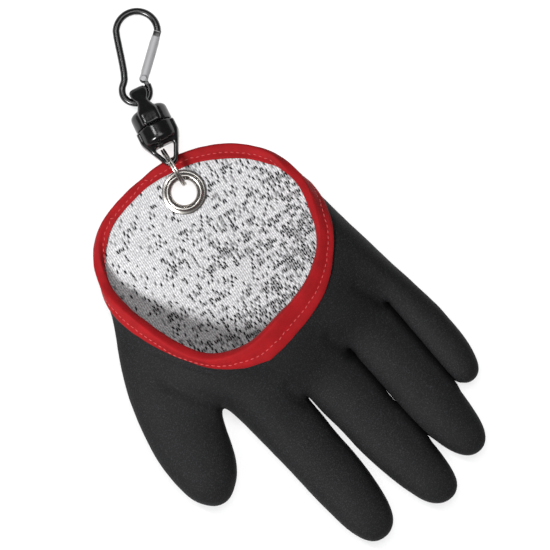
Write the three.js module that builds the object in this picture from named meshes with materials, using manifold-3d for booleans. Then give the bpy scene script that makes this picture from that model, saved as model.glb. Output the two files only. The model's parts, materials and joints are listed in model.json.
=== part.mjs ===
// A fishing glove: a knitted glove dipped in black latex, its short back and long palm flap
// bound in red tape, with an eyelet in the flap, a split ring, a two-part magnetic release
// and a small carabiner. It lies palm down. Lengths are in millimetres, +Z is up, +Y runs
// from the fingertips to the cuff and +X points to the little finger.

import * as THREE from "three";
import { mergeVertices } from "three/addons/utils/BufferGeometryUtils.js";
import Module from "manifold-3d";

const wasm = await Module();
wasm.setup();

// Driving dimensions of the glove
const PALM_WIDTH = 111;          // across the knuckles, outside
const FLAP_LENGTH = 133.6;       // knuckles to the far edge of the palm flap
const BACK_LENGTH = 33;          // knuckles to the lowest point of the back's edge
const FINGER_LENGTH = 88;        // middle finger, from the knuckle line
const KNUCKLE_DEPTH = 24;        // hand space across the knuckles, outside
const MOUTH_HEIGHT = 38;         // the back's edge above the surface
const FLAP_RISE = 8;             // the flap's underside above the surface
const FINGER_DEPTH = 20;
const THUMB_DEPTH = 23;
const FINGER_GAP = 0.8;

// Walls of the two layers and the tape
const COAT_WALL = 1;
const LINER_WALL = 1;
const LAYER_GAP = 0.3;
const TAPE_WALL = 1;
const TAPE_WIDTH = 10;

// Eyelet, split ring and their clearances
const EYELET_BORE = 12.6;
const EYELET_FLANGE = 22;
const EYELET_SHEET = 0.7;
const EYELET_CROWN = 1.6;        // height of the rolled flange
const EYELET_INSET = 18.5;       // from the flap's far edge to the eyelet's middle
const RING_RADIUS = 10.2;        // to the middle of the wire pair
const RING_WIRE = 1.2;
const CLEARANCE = 0.3;
const TAPE_GAP = 0.5;            // tape to the two layers, clear where they bend

// Magnetic release and carabiner
const CUP_RADIUS = 9.6;
const CUP_LENGTH = 8.6;
const BAIL_REACH = 13.2;         // from the cup's end to the tip of its bail
const BAIL_WIDTH = 6.4;
const BAIL_THICKNESS = 2.6;
const ARM = 0.9;                 // how far the bail's arms stand proud of the cup
const MAGNET_RADIUS = 7;
const MAGNET_DEPTH = 4;
const RELEASE_TILT = 12;         // degrees, far end down
const WIRE = 3.5;                // carabiner frame
const BOW_RADIUS = 10.35;
const CARABINER_LENGTH = 50;
const GATE_DIAMETER = 4.2;
const TONGUE = 1.5;              // thickness of the frame's flattened ends
const TONGUE_WIDTH = 2.4;
const EYE_RADIUS = 2.2;
const RIVET = 1.5;

const radians = (degrees) => (degrees * Math.PI) / 180;
const mix = (a, b, t) => a + (b - a) * t;

// Closed solids

function solidOf(geometry) {
  const bare = geometry.index ? geometry.toNonIndexed() : geometry.clone();
  bare.deleteAttribute("normal");
  bare.deleteAttribute("uv");
  const merged = mergeVertices(bare, 1e-4);
  return new wasm.Manifold(new wasm.Mesh({
    numProp: 3,
    vertProperties: new Float32Array(merged.attributes.position.array),
    triVerts: new Uint32Array(merged.index.array),
  }));
}

function geometryOf(solid) {
  const { vertProperties, triVerts, numProp } = solid.getMesh();
  const positions = new Float32Array((vertProperties.length / numProp) * 3);
  for (let i = 0; i < positions.length / 3; i++) {
    for (let k = 0; k < 3; k++) positions[3 * i + k] = vertProperties[numProp * i + k];
  }
  const geometry = new THREE.BufferGeometry();
  geometry.setAttribute("position", new THREE.BufferAttribute(positions, 3));
  geometry.setIndex(new THREE.BufferAttribute(new Uint32Array(triVerts), 1));
  return geometry;
}

const join = (...parts) => geometryOf(parts.map(solidOf).reduce((whole, part) => whole.add(part)));

const cut = (part, ...tools) =>
  geometryOf(tools.reduce((whole, tool) => whole.subtract(solidOf(tool)), solidOf(part)));

function meshFromFaces(points, faces) {
  const geometry = new THREE.BufferGeometry();
  geometry.setAttribute("position", new THREE.Float32BufferAttribute(points.flatMap((p) => p.toArray()), 3));
  geometry.setIndex(faces.flatMap(([a, b, c, d]) => (d === undefined ? [a, b, c] : [a, b, c, a, c, d])));
  return geometry;
}

// Cage of the hand
// The cage is a coarse net of quads around the hand. One round of subdivision turns it into
// the outer skin. Columns run from the knuckles to the cuff: T over and B under each web, M over
// and N under each finger, W along the two sides.

const COLUMNS = ["T0", "M1", "T1", "M2", "T2", "M3", "T3", "M4", "T4", "W4",
  "B4", "N4", "B3", "N3", "B2", "N2", "B1", "N1", "B0", "W0"];

// Knuckle row: across as a share of the palm width, along as a share of the flap length,
// height as a share of the knuckle depth.
const KNUCKLES = {
  T0: { across: -0.446, along: 0, height: 0.88 },
  M1: { across: -0.35, along: 0, height: 0.98 },
  T1: { across: -0.202, along: 0.03, height: 0.84 },
  M2: { across: -0.063, along: 0, height: 1 },
  T2: { across: 0.08, along: 0.08, height: 0.84 },
  M3: { across: 0.212, along: 0.015, height: 0.98 },
  T3: { across: 0.344, along: 0.13, height: 0.78 },
  M4: { across: 0.423, along: 0.06, height: 0.84 },
  T4: { across: 0.473, along: 0.038, height: 0.7 },
  W4: { across: 0.502, along: 0.038, height: 0.4 },
  B4: { across: 0.473, along: 0.038, height: 0.02 },
  N4: { across: 0.423, along: 0.06, height: 0 },
  B3: { across: 0.344, along: 0.13, height: 0 },
  N3: { across: 0.212, along: 0.015, height: 0 },
  B2: { across: 0.08, along: 0.08, height: 0 },
  N2: { across: -0.063, along: 0, height: 0 },
  B1: { across: -0.202, along: 0.03, height: 0 },
  N1: { across: -0.35, along: 0, height: 0 },
  B0: { across: -0.446, along: 0, height: 0.04 },
  W0: { across: -0.518, along: 0, height: 0.42 },
};

// Cuff edge, the same columns: across as a share of the palm width, climb from the back's
// lowest edge (0) to the flap's far edge (1), lift from the flap (0) to the mouth (1), and
// band as a share of the tape width.
const CUFF = {
  T0: { across: -0.582, climb: 0.53, lift: 0.56, band: 0.8 },
  M1: { across: -0.539, climb: 0.294, lift: 0.75, band: 0.85 },
  T1: { across: -0.458, climb: 0.093, lift: 0.89, band: 0.9 },
  M2: { across: -0.264, climb: 0, lift: 1, band: 1.2 },
  T2: { across: -0.057, climb: 0.04, lift: 1, band: 1.25 },
  M3: { across: 0.132, climb: 0.067, lift: 0.93, band: 1 },
  T3: { across: 0.272, climb: 0.165, lift: 0.8, band: 0.74 },
  M4: { across: 0.344, climb: 0.285, lift: 0.68, band: 0.8 },
  T4: { across: 0.382, climb: 0.385, lift: 0.55, band: 0.82 },
  W4: { across: 0.41, climb: 0.484, lift: 0.32, band: 0.8 },
  B4: { across: 0.402, climb: 0.587, lift: 0.08, band: 0.8 },
  N4: { across: 0.375, climb: 0.7, lift: 0.02, band: 0.75 },
  B3: { across: 0.295, climb: 0.819, lift: 0, band: 0.75 },
  N3: { across: 0.173, climb: 0.922, lift: 0, band: 0.7 },
  B2: { across: 0.024, climb: 0.983, lift: 0, band: 0.58 },
  N2: { across: -0.138, climb: 1, lift: 0, band: 0.45 },
  B1: { across: -0.291, climb: 0.986, lift: 0, band: 0.45 },
  N1: { across: -0.426, climb: 0.958, lift: 0, band: 0.5 },
  B0: { across: -0.539, climb: 0.865, lift: 0.04, band: 0.55 },
  W0: { across: -0.605, climb: 0.695, lift: 0.27, band: 0.65 },
};

// Rows between the knuckles and the tape, as shares of a column's length
const BACK_ROWS = [0.22, 0.46, 0.7];
const FLAP_ROWS = [0.18, 0.38, 0.6];
const SIDE_ROWS = [0.24, 0.5, 0.74];

// Columns on the thumb's side, which curve round its root: shares of palm width, flap length
// and thumb depth, from the knuckles to the tape
const THUMB_SIDE = {
  M1: [
    { across: -0.39, along: 0.115, height: 1.11 },
    { across: -0.446, along: 0.232, height: 1.22 },
    { across: -0.523, along: 0.352, height: 1.24 },
  ],
  T0: [
    { across: -0.46, along: 0.195, height: 1.06 },
    { across: -0.581, along: 0.344, height: 1.06 },
    { across: -0.667, along: 0.554, height: 0.89 },
  ],
  W0: [
    { across: -0.535, along: 0.18, height: 0.46 },
    null,
    { across: -0.655, along: 0.69, height: 0.4 },
  ],
  B0: [
    { across: -0.478, along: 0.195, height: 0.02 },
    { across: -0.54, along: 0.42, height: 0.02 },
    { across: -0.6, along: 0.674, height: 0.2 },
  ],
};

// Thumb sections: the inner and outer side of each, then its underside and top as shares of
// the thumb depth
const THUMB = [
  { innerAcross: -0.566, innerAlong: 0.105, outerAcross: -0.79, outerAlong: 0.494, low: 0, high: 1 },
  { innerAcross: -0.592, innerAlong: 0.035, outerAcross: -0.893, outerAlong: 0.255, low: 0, high: 0.98 },
  { innerAcross: -0.625, innerAlong: -0.03, outerAcross: -0.924, outerAlong: 0.05, low: 0, high: 0.92 },
  { innerAcross: -0.68, innerAlong: -0.092, outerAcross: -0.893, outerAlong: -0.078, low: 0.06, high: 0.82 },
];
const THUMB_TIP = { across: -0.797, along: -0.175, height: 0.42 };

// Fingers: sections along the finger as shares of its own length, their middle and width as
// shares of the palm width. Length is a share of the middle finger's.
const FINGERS = [
  { name: "index", length: 0.925, depth: 1, sections: [
    { along: 0.13, across: -0.347, width: 0.289 },
    { along: 0.6, across: -0.335, width: 0.282 },
    { along: 0.95, across: -0.337, width: 0.222 },
  ] },
  { name: "middle", length: 1, depth: 1, sections: [
    { along: 0.13, across: -0.059, width: 0.285 },
    { along: 0.6, across: -0.038, width: 0.28 },
    { along: 0.95, across: -0.005, width: 0.216 },
  ] },
  { name: "ring", length: 0.898, depth: 0.98, sections: [
    { along: 0.13, across: 0.213, width: 0.266 },
    { along: 0.6, across: 0.216, width: 0.276 },
    { along: 0.95, across: 0.228, width: 0.2 },
  ] },
  { name: "little", length: 0.567, depth: 0.86, sections: [
    { along: 0.12, across: 0.428, width: 0.17 },
    { along: 0.6, across: 0.432, width: 0.182 },
    { along: 0.94, across: 0.418, width: 0.146 },
  ] },
];

// Webs between the fingers: shares of palm width, flap length and finger depth
const WEBS = [
  { across: -0.202, along: -0.01, height: 0.5 },
  { across: 0.08, along: 0.04, height: 0.5 },
  { across: 0.344, along: 0.09, height: 0.46 },
];

const ROUNDNESS = 0.74;          // corner points of a section, between its middle and its sides
const SWELL = 1 / 0.93;          // cage over skin, because subdivision draws the net in
const TIP_REACH = 1.05;          // cage over skin at a fingertip
const BACK_HUMP = 0.06;          // how far the back bulges, as a share of the mouth height

const TAPE_SQUARENESS = 0.6;      // 1 sets the row under the tape square to the edge, 0 along the column

class Cage {
  constructor() {
    this.points = [];
    this.faces = [];
    this.bands = new Map();
  }

  add(x, y, z) {
    this.points.push(new THREE.Vector3(x, y, z));
    return this.points.length - 1;
  }

  // Eight points round a section, from side a over the top to side b and back underneath
  section(a, b, low, high) {
    const middle = (low + high) / 2;
    const half = ((high - low) / 2) * SWELL;
    const centre = [(a[0] + b[0]) / 2, (a[1] + b[1]) / 2];
    const reach = [((b[0] - a[0]) / 2) * SWELL, ((b[1] - a[1]) / 2) * SWELL];
    const turns = [[-1, 0], [-ROUNDNESS, ROUNDNESS], [0, 1], [ROUNDNESS, ROUNDNESS],
      [1, 0], [ROUNDNESS, -ROUNDNESS], [0, -1], [-ROUNDNESS, -ROUNDNESS]];
    return turns.map(([side, up]) =>
      this.add(centre[0] + side * reach[0], centre[1] + side * reach[1], Math.max(0, middle + up * half)));
  }

  strip(from, to) {
    from.forEach((_, i) => {
      const next = (i + 1) % from.length;
      this.faces.push([from[i], to[i], to[next], from[next]]);
    });
  }

  cap(ring, tip) {
    for (let i = 0; i < ring.length; i += 2) {
      this.faces.push([ring[i], tip, ring[(i + 2) % ring.length], ring[i + 1]]);
    }
  }
}

function knucklePoint(cage, name) {
  const row = KNUCKLES[name];
  return cage.add(row.across * PALM_WIDTH, row.along * FLAP_LENGTH, row.height * KNUCKLE_DEPTH);
}

function cuffPoint(name) {
  const row = CUFF[name];
  return new THREE.Vector3(
    row.across * PALM_WIDTH,
    mix(BACK_LENGTH, FLAP_LENGTH, row.climb),
    mix(FLAP_RISE, MOUTH_HEIGHT, row.lift),
  );
}

// The rows of one column between the knuckles and the tape
function columnRows(name, start, end) {
  if (THUMB_SIDE[name]) {
    return THUMB_SIDE[name].map((row) => row && new THREE.Vector3(
      row.across * PALM_WIDTH, row.along * FLAP_LENGTH, row.height * THUMB_DEPTH));
  }
  const back = name[0] === "T" || name[0] === "M";
  const side = name[0] === "W";
  const shares = back ? BACK_ROWS : side ? SIDE_ROWS : FLAP_ROWS;
  return shares.map((share, row) => {
    const point = start.clone().lerp(end, share);
    if (back) point.z += Math.sin(Math.PI * share) * BACK_HUMP * MOUTH_HEIGHT;
    if (!back && !side) point.z = row < shares.length - 1 ? 0 : end.z;
    return point;
  });
}

function buildCage() {
  const cage = new Cage();
  const knuckle = Object.fromEntries(COLUMNS.map((name) => [name, knucklePoint(cage, name)]));
  const rows = [COLUMNS.map((name) => knuckle[name])];
  const ends = COLUMNS.map(cuffPoint);
  const columns = COLUMNS.map((name, i) => {
    const end = ends[i];
    const inner = columnRows(name, cage.points[knuckle[name]], end);
    const along = ends[(i + 1) % ends.length].clone().sub(ends.at(i - 1)).normalize();
    const inward = inner.at(-1).clone().sub(end);
    inward.addScaledVector(along, -inward.dot(along) * TAPE_SQUARENESS);
    if (name !== "B0" && (name[0] === "B" || name[0] === "N")) inward.z = 0;
    return [...inner, end.clone().add(inward.setLength(TAPE_WIDTH)), end];
  });
  for (let row = 0; row < columns[0].length; row++) {
    rows.push(columns.map((column) => column[row] && cage.add(...column[row].toArray())));
  }
  COLUMNS.forEach((name, i) => cage.bands.set(rows[rows.length - 1][i], CUFF[name].band * TAPE_WIDTH));
  for (let row = 1; row < rows.length; row++) {
    const from = rows[row - 1];
    const to = rows[row];
    from.forEach((_, i) => {
      const next = (i + 1) % from.length;
      const quad = [from[i], from[next], to[next], to[i]];
      if (quad.every((index) => index !== null)) cage.faces.push(quad);
    });
  }

  // Thumb, from its root round the empty place on the left side
  const at = (row, name) => rows[row][COLUMNS.indexOf(name)];
  let ring = [at(3, "W0"), at(3, "T0"), at(2, "T0"), at(1, "T0"),
    at(1, "W0"), at(1, "B0"), at(2, "B0"), at(3, "B0")];
  for (const part of THUMB) {
    const next = cage.section(
      [part.outerAcross * PALM_WIDTH, part.outerAlong * FLAP_LENGTH],
      [part.innerAcross * PALM_WIDTH, part.innerAlong * FLAP_LENGTH],
      part.low * THUMB_DEPTH, part.high * THUMB_DEPTH);
    cage.strip(ring, next);
    ring = next;
  }
  cage.cap(ring, cage.add(THUMB_TIP.across * PALM_WIDTH, THUMB_TIP.along * FLAP_LENGTH,
    THUMB_TIP.height * THUMB_DEPTH));

  // Fingers, each from its own stretch of the knuckle row and the webs beside it
  const webs = [knuckle.W0, ...WEBS.map((web) =>
    cage.add(web.across * PALM_WIDTH, web.along * FLAP_LENGTH, web.height * FINGER_DEPTH)), knuckle.W4];
  FINGERS.forEach((finger, i) => {
    const length = finger.length * FINGER_LENGTH;
    let base = [webs[i], knuckle[`T${i}`], knuckle[`M${i + 1}`], knuckle[`T${i + 1}`],
      webs[i + 1], knuckle[`B${i + 1}`], knuckle[`N${i + 1}`], knuckle[`B${i}`]];
    const depth = finger.depth * FINGER_DEPTH;
    for (const part of finger.sections) {
      const half = (part.width * PALM_WIDTH - FINGER_GAP) / 2;
      const middle = part.across * PALM_WIDTH;
      const taper = part.along > 0.9 ? 0.8 : 1;
      const lift = ((1 - taper) / 2) * depth;
      const next = cage.section([middle - half, -part.along * length], [middle + half, -part.along * length],
        lift, depth - lift);
      cage.strip(base, next);
      base = next;
    }
    const last = finger.sections[finger.sections.length - 1];
    cage.cap(base, cage.add(last.across * PALM_WIDTH, -length * TIP_REACH, depth / 2));
  });
  return cage;
}

// One round of Catmull and Clark's subdivision, with open edges kept as curves
function subdivide({ points, faces }) {
  const edges = new Map();
  const keyOf = (a, b) => (a < b ? `${a}_${b}` : `${b}_${a}`);
  const average = (list) => list.reduce((sum, p) => sum.add(p), new THREE.Vector3()).divideScalar(list.length);
  const centres = faces.map((face) => average(face.map((i) => points[i])));
  faces.forEach((face, f) => face.forEach((a, i) => {
    const b = face[(i + 1) % face.length];
    const key = keyOf(a, b);
    if (!edges.has(key)) edges.set(key, { ends: [a, b], faces: [] });
    edges.get(key).faces.push(f);
  }));
  const around = points.map(() => ({ faces: new Set(), edges: [] }));
  for (const edge of edges.values()) {
    for (const end of edge.ends) {
      around[end].edges.push(edge);
      edge.faces.forEach((f) => around[end].faces.add(f));
    }
  }
  const moved = points.map((point, i) => {
    const rim = around[i].edges.filter((edge) => edge.faces.length === 1);
    const middleOf = (edge) => average(edge.ends.map((end) => points[end]));
    if (rim.length) return average([...rim.map(middleOf), point, point]);
    const count = around[i].edges.length;
    const face = average([...around[i].faces].map((f) => centres[f]));
    const edge = average(around[i].edges.map(middleOf));
    return face.add(edge.multiplyScalar(2)).add(point.clone().multiplyScalar(count - 3)).divideScalar(count);
  });
  const next = [...moved, ...centres];
  for (const edge of edges.values()) {
    edge.index = next.length;
    const ends = edge.ends.map((end) => points[end]);
    next.push(average(edge.faces.length === 1 ? ends : [...ends, ...edge.faces.map((f) => centres[f])]));
  }
  const split = [];
  faces.forEach((face, f) => face.forEach((corner, i) => {
    const after = edges.get(keyOf(corner, face[(i + 1) % face.length])).index;
    const before = edges.get(keyOf(face[(i + face.length - 1) % face.length], corner)).index;
    split.push([corner, after, points.length + f, before]);
  }));
  return { points: next, faces: split };
}

function vertexNormals({ points, faces }) {
  const normals = points.map(() => new THREE.Vector3());
  for (const face of faces) {
    const [a, b, c, d] = face.map((i) => points[i]);
    const normal = c.clone().sub(a).cross(d.clone().sub(b)).normalize();
    face.forEach((i) => normals[i].add(normal));
  }
  return normals.map((normal) => normal.normalize());
}

// The open rim of the skin as an ordered loop of point indices, in the faces' own direction
function rimLoop({ faces }) {
  const inner = new Set();
  faces.forEach((face) => face.forEach((a, i) => inner.add(`${a}_${face[(i + 1) % face.length]}`)));
  const next = new Map();
  faces.forEach((face) => face.forEach((a, i) => {
    const b = face[(i + 1) % face.length];
    if (!inner.has(`${b}_${a}`)) next.set(a, b);
  }));
  const loop = [next.keys().next().value];
  while (next.get(loop[loop.length - 1]) !== loop[0]) loop.push(next.get(loop[loop.length - 1]));
  return loop;
}

const cage = buildCage();
const skin = subdivide(cage);
const skinNormals = vertexNormals(skin);
const rim = rimLoop(skin);
const offsetPoint = (index, depth) => skin.points[index].clone().addScaledVector(skinNormals[index], -depth);

// A wall between two depths under the outer skin, closed at the cuff
function layer(outerDepth, innerDepth) {
  const count = skin.points.length;
  const points = [
    ...skin.points.map((_, i) => offsetPoint(i, outerDepth)),
    ...skin.points.map((_, i) => offsetPoint(i, innerDepth)),
  ];
  const faces = [
    ...skin.faces,
    ...skin.faces.map(([a, b, c, d]) => [a + count, d + count, c + count, b + count]),
    ...rim.map((a, i) => {
      const b = rim[(i + 1) % rim.length];
      return [b, a, a + count, b + count];
    }),
  ];
  return meshFromFaces(points, faces);
}

const LINER_OUTSIDE = COAT_WALL + LAYER_GAP;
const LINER_INSIDE = LINER_OUTSIDE + LINER_WALL;

// Eyelet through the flap, level in the middle of the flap's flat stretch

const eyeletAcross = -0.038 * PALM_WIDTH;
const eyeletAlong = FLAP_LENGTH - EYELET_INSET;
const flapTop = FLAP_RISE + LINER_INSIDE;
const barrelRadius = EYELET_BORE / 2 + EYELET_SHEET;
const ROUND_SIDES = 16;

function place(geometry, x, y, z) {
  return geometry.translate(x, y, z);
}

function upright(radius, low, high, sides = ROUND_SIDES) {
  return new THREE.CylinderGeometry(radius, radius, high - low, sides)
    .rotateX(Math.PI / 2)
    .translate(0, 0, (low + high) / 2);
}

function lathe(profile, sides = ROUND_SIDES) {
  return new THREE.LatheGeometry(profile.map(([r, z]) => new THREE.Vector2(r, z)), sides).rotateX(Math.PI / 2);
}

const eyeletHole = () => place(upright(barrelRadius + CLEARANCE, 0, flapTop + 4 * EYELET_CROWN),
  eyeletAcross, eyeletAlong, -EYELET_CROWN);

const coat = cut(layer(0, COAT_WALL), eyeletHole());
const liner = cut(layer(LINER_OUTSIDE, LINER_INSIDE), eyeletHole());

const bore = EYELET_BORE / 2;
const flange = EYELET_FLANGE / 2;
const topSeat = flapTop + CLEARANCE;
const washerTop = FLAP_RISE - CLEARANCE;
const washerBottom = washerTop - EYELET_SHEET;
const curlBottom = washerBottom - CLEARANCE - EYELET_SHEET;
const crownRadius = (bore + flange) / 2;

const eyelet = place(lathe([
  [bore, curlBottom + EYELET_SHEET / 2],
  [bore + EYELET_SHEET, curlBottom],
  [barrelRadius + 2 * EYELET_SHEET, curlBottom],
  [barrelRadius + 2 * EYELET_SHEET, curlBottom + EYELET_SHEET],
  [barrelRadius, curlBottom + EYELET_SHEET],
  [barrelRadius, topSeat],
  [flange, topSeat],
  [flange, topSeat + EYELET_SHEET],
  [crownRadius + 1, topSeat + EYELET_CROWN],
  [crownRadius - 1, topSeat + EYELET_CROWN],
  [bore, topSeat - EYELET_SHEET],
  [bore, curlBottom + EYELET_SHEET / 2],
]), eyeletAcross, eyeletAlong, 0);

const washer = place(lathe([
  [barrelRadius + CLEARANCE, washerBottom],
  [flange - 1, washerBottom],
  [flange - 1, washerTop],
  [barrelRadius + CLEARANCE, washerTop],
  [barrelRadius + CLEARANCE, washerBottom],
]), eyeletAcross, eyeletAlong, 0);

// Red tape folded over the cuff edge, parallel to both layers

function binding() {
  const neighbours = new Map();
  skin.faces.forEach((face) => face.forEach((a, i) => {
    const b = face[(i + 1) % face.length];
    for (const [from, to] of [[a, b], [b, a]]) {
      if (!neighbours.has(from)) neighbours.set(from, new Set());
      neighbours.get(from).add(to);
    }
  }));
  const onRim = new Set(rim);
  const inward = rim.map((index) => [...neighbours.get(index)].find((other) => !onRim.has(other)));
  const second = new Set(inward);
  const third = inward.map((index, i) => [...neighbours.get(index)]
    .find((other) => !second.has(other) && other !== rim[i]));
  const outside = -TAPE_GAP;
  const inside = LINER_INSIDE + TAPE_GAP;
  const corner = 0.7 * TAPE_WALL;
  const sections = rim.map((edge, i) => {
    const before = rim[(i + rim.length - 1) % rim.length];
    const after = rim[(i + 1) % rim.length];
    const corners = cage.bands.has(edge);
    const width = corners ? cage.bands.get(edge) : (cage.bands.get(before) + cage.bands.get(after)) / 2;
    const away = skin.points[after].clone().sub(skin.points[before]).cross(skinNormals[edge]).normalize();
    const first = skin.points[edge].distanceTo(skin.points[inward[i]]);
    const rest = skin.points[inward[i]].distanceTo(skin.points[third[i]]);
    const wide = width > first;
    const middle = (depth) => ({
      point: wide ? offsetPoint(inward[i], depth)
        : offsetPoint(edge, depth).lerp(offsetPoint(inward[i], depth), width / first / 2),
      pivot: !corners,
    });
    const far = (depth) => ({
      point: wide ? offsetPoint(inward[i], depth).lerp(offsetPoint(third[i], depth), (width - first) / rest)
        : offsetPoint(edge, depth).lerp(offsetPoint(inward[i], depth), width / first),
    });
    const near = (depth) => ({ point: offsetPoint(edge, depth) });
    const past = (reach, depth) => ({ point: offsetPoint(edge, depth).addScaledVector(away, reach) });
    const top = outside - TAPE_WALL;
    const bottom = inside + TAPE_WALL;
    return [
      far(top), middle(top), near(top),
      past(TAPE_GAP + corner, outside - corner), past(TAPE_GAP + corner, inside + corner),
      near(bottom), middle(bottom), far(bottom),
      far(inside), middle(inside), near(inside), past(TAPE_GAP, inside),
      past(TAPE_GAP, outside), near(outside), middle(outside), far(outside),
    ];
  });
  const size = sections[0].length;
  const all = sections.flat();
  const faces = [];
  sections.forEach((_, i) => {
    const from = i * size;
    const to = ((i + 1) % sections.length) * size;
    for (let k = 0; k < size; k++) {
      const next = (k + 1) % size;
      const quad = [from + k, from + next, to + next, to + k];
      // the quad's diagonal runs as it does in the skin below it
      if (all[quad[1]].pivot || all[quad[3]].pivot) quad.push(quad.shift());
      faces.push(quad);
    }
  });
  const tape = meshFromFaces(all.map(({ point }) => point), faces);
  return cut(tape, layer(-CLEARANCE, LINER_INSIDE + CLEARANCE));
}

// Split ring, upright through the eyelet

const RING_LEAN = 7.6;           // degrees from the flap's own length
const RING_HALF_WIDTH = 1.25;    // half the width of two turns of wire
const RING_OFFSET = 2.6;         // where it passes the bore, beside the eyelet's middle

const ringHeight = RING_RADIUS + RING_WIRE / 2 + CLEARANCE;
const ringReach = Math.sqrt(bore ** 2 - (RING_OFFSET + RING_HALF_WIDTH) ** 2) - CLEARANCE - RING_WIRE / 2;
const ringChord = Math.sqrt(RING_RADIUS ** 2 - (ringHeight - curlBottom) ** 2);
const ringAlong = eyeletAlong + ringReach + ringChord * Math.cos(radians(RING_LEAN));
const ringAcross = eyeletAcross + RING_OFFSET + RING_RADIUS * Math.sin(radians(RING_LEAN));

function splitRing() {
  return new THREE.TorusGeometry(RING_RADIUS, RING_WIRE / 2, 5, 24)
    .scale(1, 1, (2 * RING_HALF_WIDTH) / RING_WIRE)
    .rotateY(Math.PI / 2)
    .rotateZ(radians(-RING_LEAN));
}

// One half of the magnetic release, its cup's open face at the origin and its bail along +Y

const MAGNET_SEAT = CLEARANCE;
const SHOULDER = CUP_LENGTH - 1.5;

const TIP_RADIUS = 4.4;          // round end of the bail
const LIP_EDGE = 0.35;           // broken edge at the cup's open face
const CUP_CONE = 2.4;            // how far the cup's closed end is drawn in
const CUP_CROWN = 1;             // how far it rises past the cup's own length
const BAIL_EDGE = 1;             // chamfer along the bail, on its two faces
const BAIL_EDGE_SIDE = 0.5;      // and on its rim
const WINDOW_HALF = 5.2;         // half width of the window at the cup
const WINDOW_STEP = 2;           // height of its lower corners
const WINDOW_DRAW = 0.6;         // and how far they are drawn in
const WINDOW_ROUND = 0.6 * BAIL_THICKNESS;   // what the round end is smaller than the bail's own

function bailOutline(halfWidth, corner, tip) {
  const shape = new THREE.Shape();
  shape.moveTo(-halfWidth, 0);
  shape.lineTo(halfWidth, 0);
  shape.lineTo(halfWidth, corner);
  shape.lineTo(TIP_RADIUS, tip - TIP_RADIUS);
  shape.absarc(0, tip - TIP_RADIUS, TIP_RADIUS, 0, Math.PI, false);
  shape.lineTo(-halfWidth, corner);
  return shape;
}

function windowOutline(low, high) {
  const radius = TIP_RADIUS - WINDOW_ROUND;
  const shape = new THREE.Shape();
  shape.moveTo(-WINDOW_HALF, low);
  shape.lineTo(WINDOW_HALF, low);
  shape.lineTo(WINDOW_HALF - WINDOW_DRAW, low + WINDOW_STEP);
  shape.absarc(0, high - radius, radius, 0, Math.PI, false);
  shape.lineTo(-WINDOW_HALF + WINDOW_DRAW, low + WINDOW_STEP);
  return shape;
}

function releaseHalf() {
  const tip = CUP_LENGTH + BAIL_REACH;
  const cup = new THREE.LatheGeometry([
    [0, 0], [CUP_RADIUS - LIP_EDGE, 0], [CUP_RADIUS, LIP_EDGE], [CUP_RADIUS, SHOULDER - CUP_CROWN],
    [CUP_RADIUS - CUP_CONE, CUP_LENGTH + CUP_CROWN], [0, CUP_LENGTH + CUP_CROWN],
  ].map(([r, y]) => new THREE.Vector2(r, y)), 20);
  const bail = new THREE.ExtrudeGeometry(bailOutline(CUP_RADIUS + ARM, SHOULDER, tip), {
    depth: BAIL_WIDTH - 2 * BAIL_EDGE, bevelEnabled: true, bevelThickness: BAIL_EDGE,
    bevelSize: BAIL_EDGE_SIDE, bevelOffset: -BAIL_EDGE_SIDE, bevelSegments: 1, curveSegments: 6, steps: 1,
  }).translate(0, 0, BAIL_EDGE - BAIL_WIDTH / 2);
  const window = windowOutline(CUP_LENGTH + 1.6 * CUP_CROWN, tip - BAIL_THICKNESS);
  const opening = new THREE.ExtrudeGeometry(window, {
    depth: 2 * BAIL_WIDTH, bevelEnabled: false, curveSegments: 6, steps: 1,
  }).translate(0, 0, -BAIL_WIDTH);
  const pocket = new THREE.CylinderGeometry(MAGNET_RADIUS + CLEARANCE, MAGNET_RADIUS + CLEARANCE,
    2 * (MAGNET_DEPTH + MAGNET_SEAT + CLEARANCE), 16);
  return geometryOf(solidOf(cup).add(solidOf(bail)).subtract(solidOf(opening)).subtract(solidOf(pocket)));
}

const magnetDisc = () => new THREE.CylinderGeometry(MAGNET_RADIUS, MAGNET_RADIUS, MAGNET_DEPTH, 16)
  .translate(0, MAGNET_SEAT + MAGNET_DEPTH / 2, 0);

// Carabiner in its own plane, +Y to the bow, the origin in the middle of its small bend

const SMALL_BEND_DROP = 4.8;     // the wire's middle below the origin
const BEND = SMALL_BEND_DROP;    // the small bend's own measure
const HINGE = new THREE.Vector2(0.99 * BEND, 1.5625 * BEND);
const SMALL_BEND = [
  { x: -1.021 * BEND, y: 1.542 * BEND }, { x: -1.25 * BEND, y: 0.542 * BEND },
  { x: -1.125 * BEND, y: -0.25 * BEND }, { x: -0.583 * BEND, y: -0.8125 * BEND },
  { x: 0.167 * BEND, y: -BEND }, { x: 0.958 * BEND, y: -0.875 * BEND },
  { x: 1.479 * BEND, y: -0.375 * BEND }, { x: 1.583 * BEND, y: 0.292 * BEND },
  { x: 1.375 * BEND, y: 0.958 * BEND },
];
const BOW_OFFSET = 1.2;
const BOW_TURN = 1.03;           // half turns of the bow's arc
const NOSE_WIDTH = 3.4;
const NOSE_LENGTH = 4;
const NOSE_INSET = 0.4;          // of the nose's middle from the wire's end, across
const NOSE_DROP = 1.2;           // and along
const GATE_LAP = 1.4;            // the sleeve's end below the wire's
const LOW_SLOT = 3.2;            // depth of the sleeve's slot over the hinge
const HIGH_SLOT = 2.6;           // and over the nose
const RIVET_LIP = 0.7;           // what the rivet's heads are wider than its pin
const RIVET_HEAD = 0.6;          // how thick they are
const bowMiddle = CARABINER_LENGTH - WIRE - SMALL_BEND_DROP - BOW_RADIUS;
const NOSE = new THREE.Vector2(BOW_OFFSET + BOW_RADIUS, bowMiddle);

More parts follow.
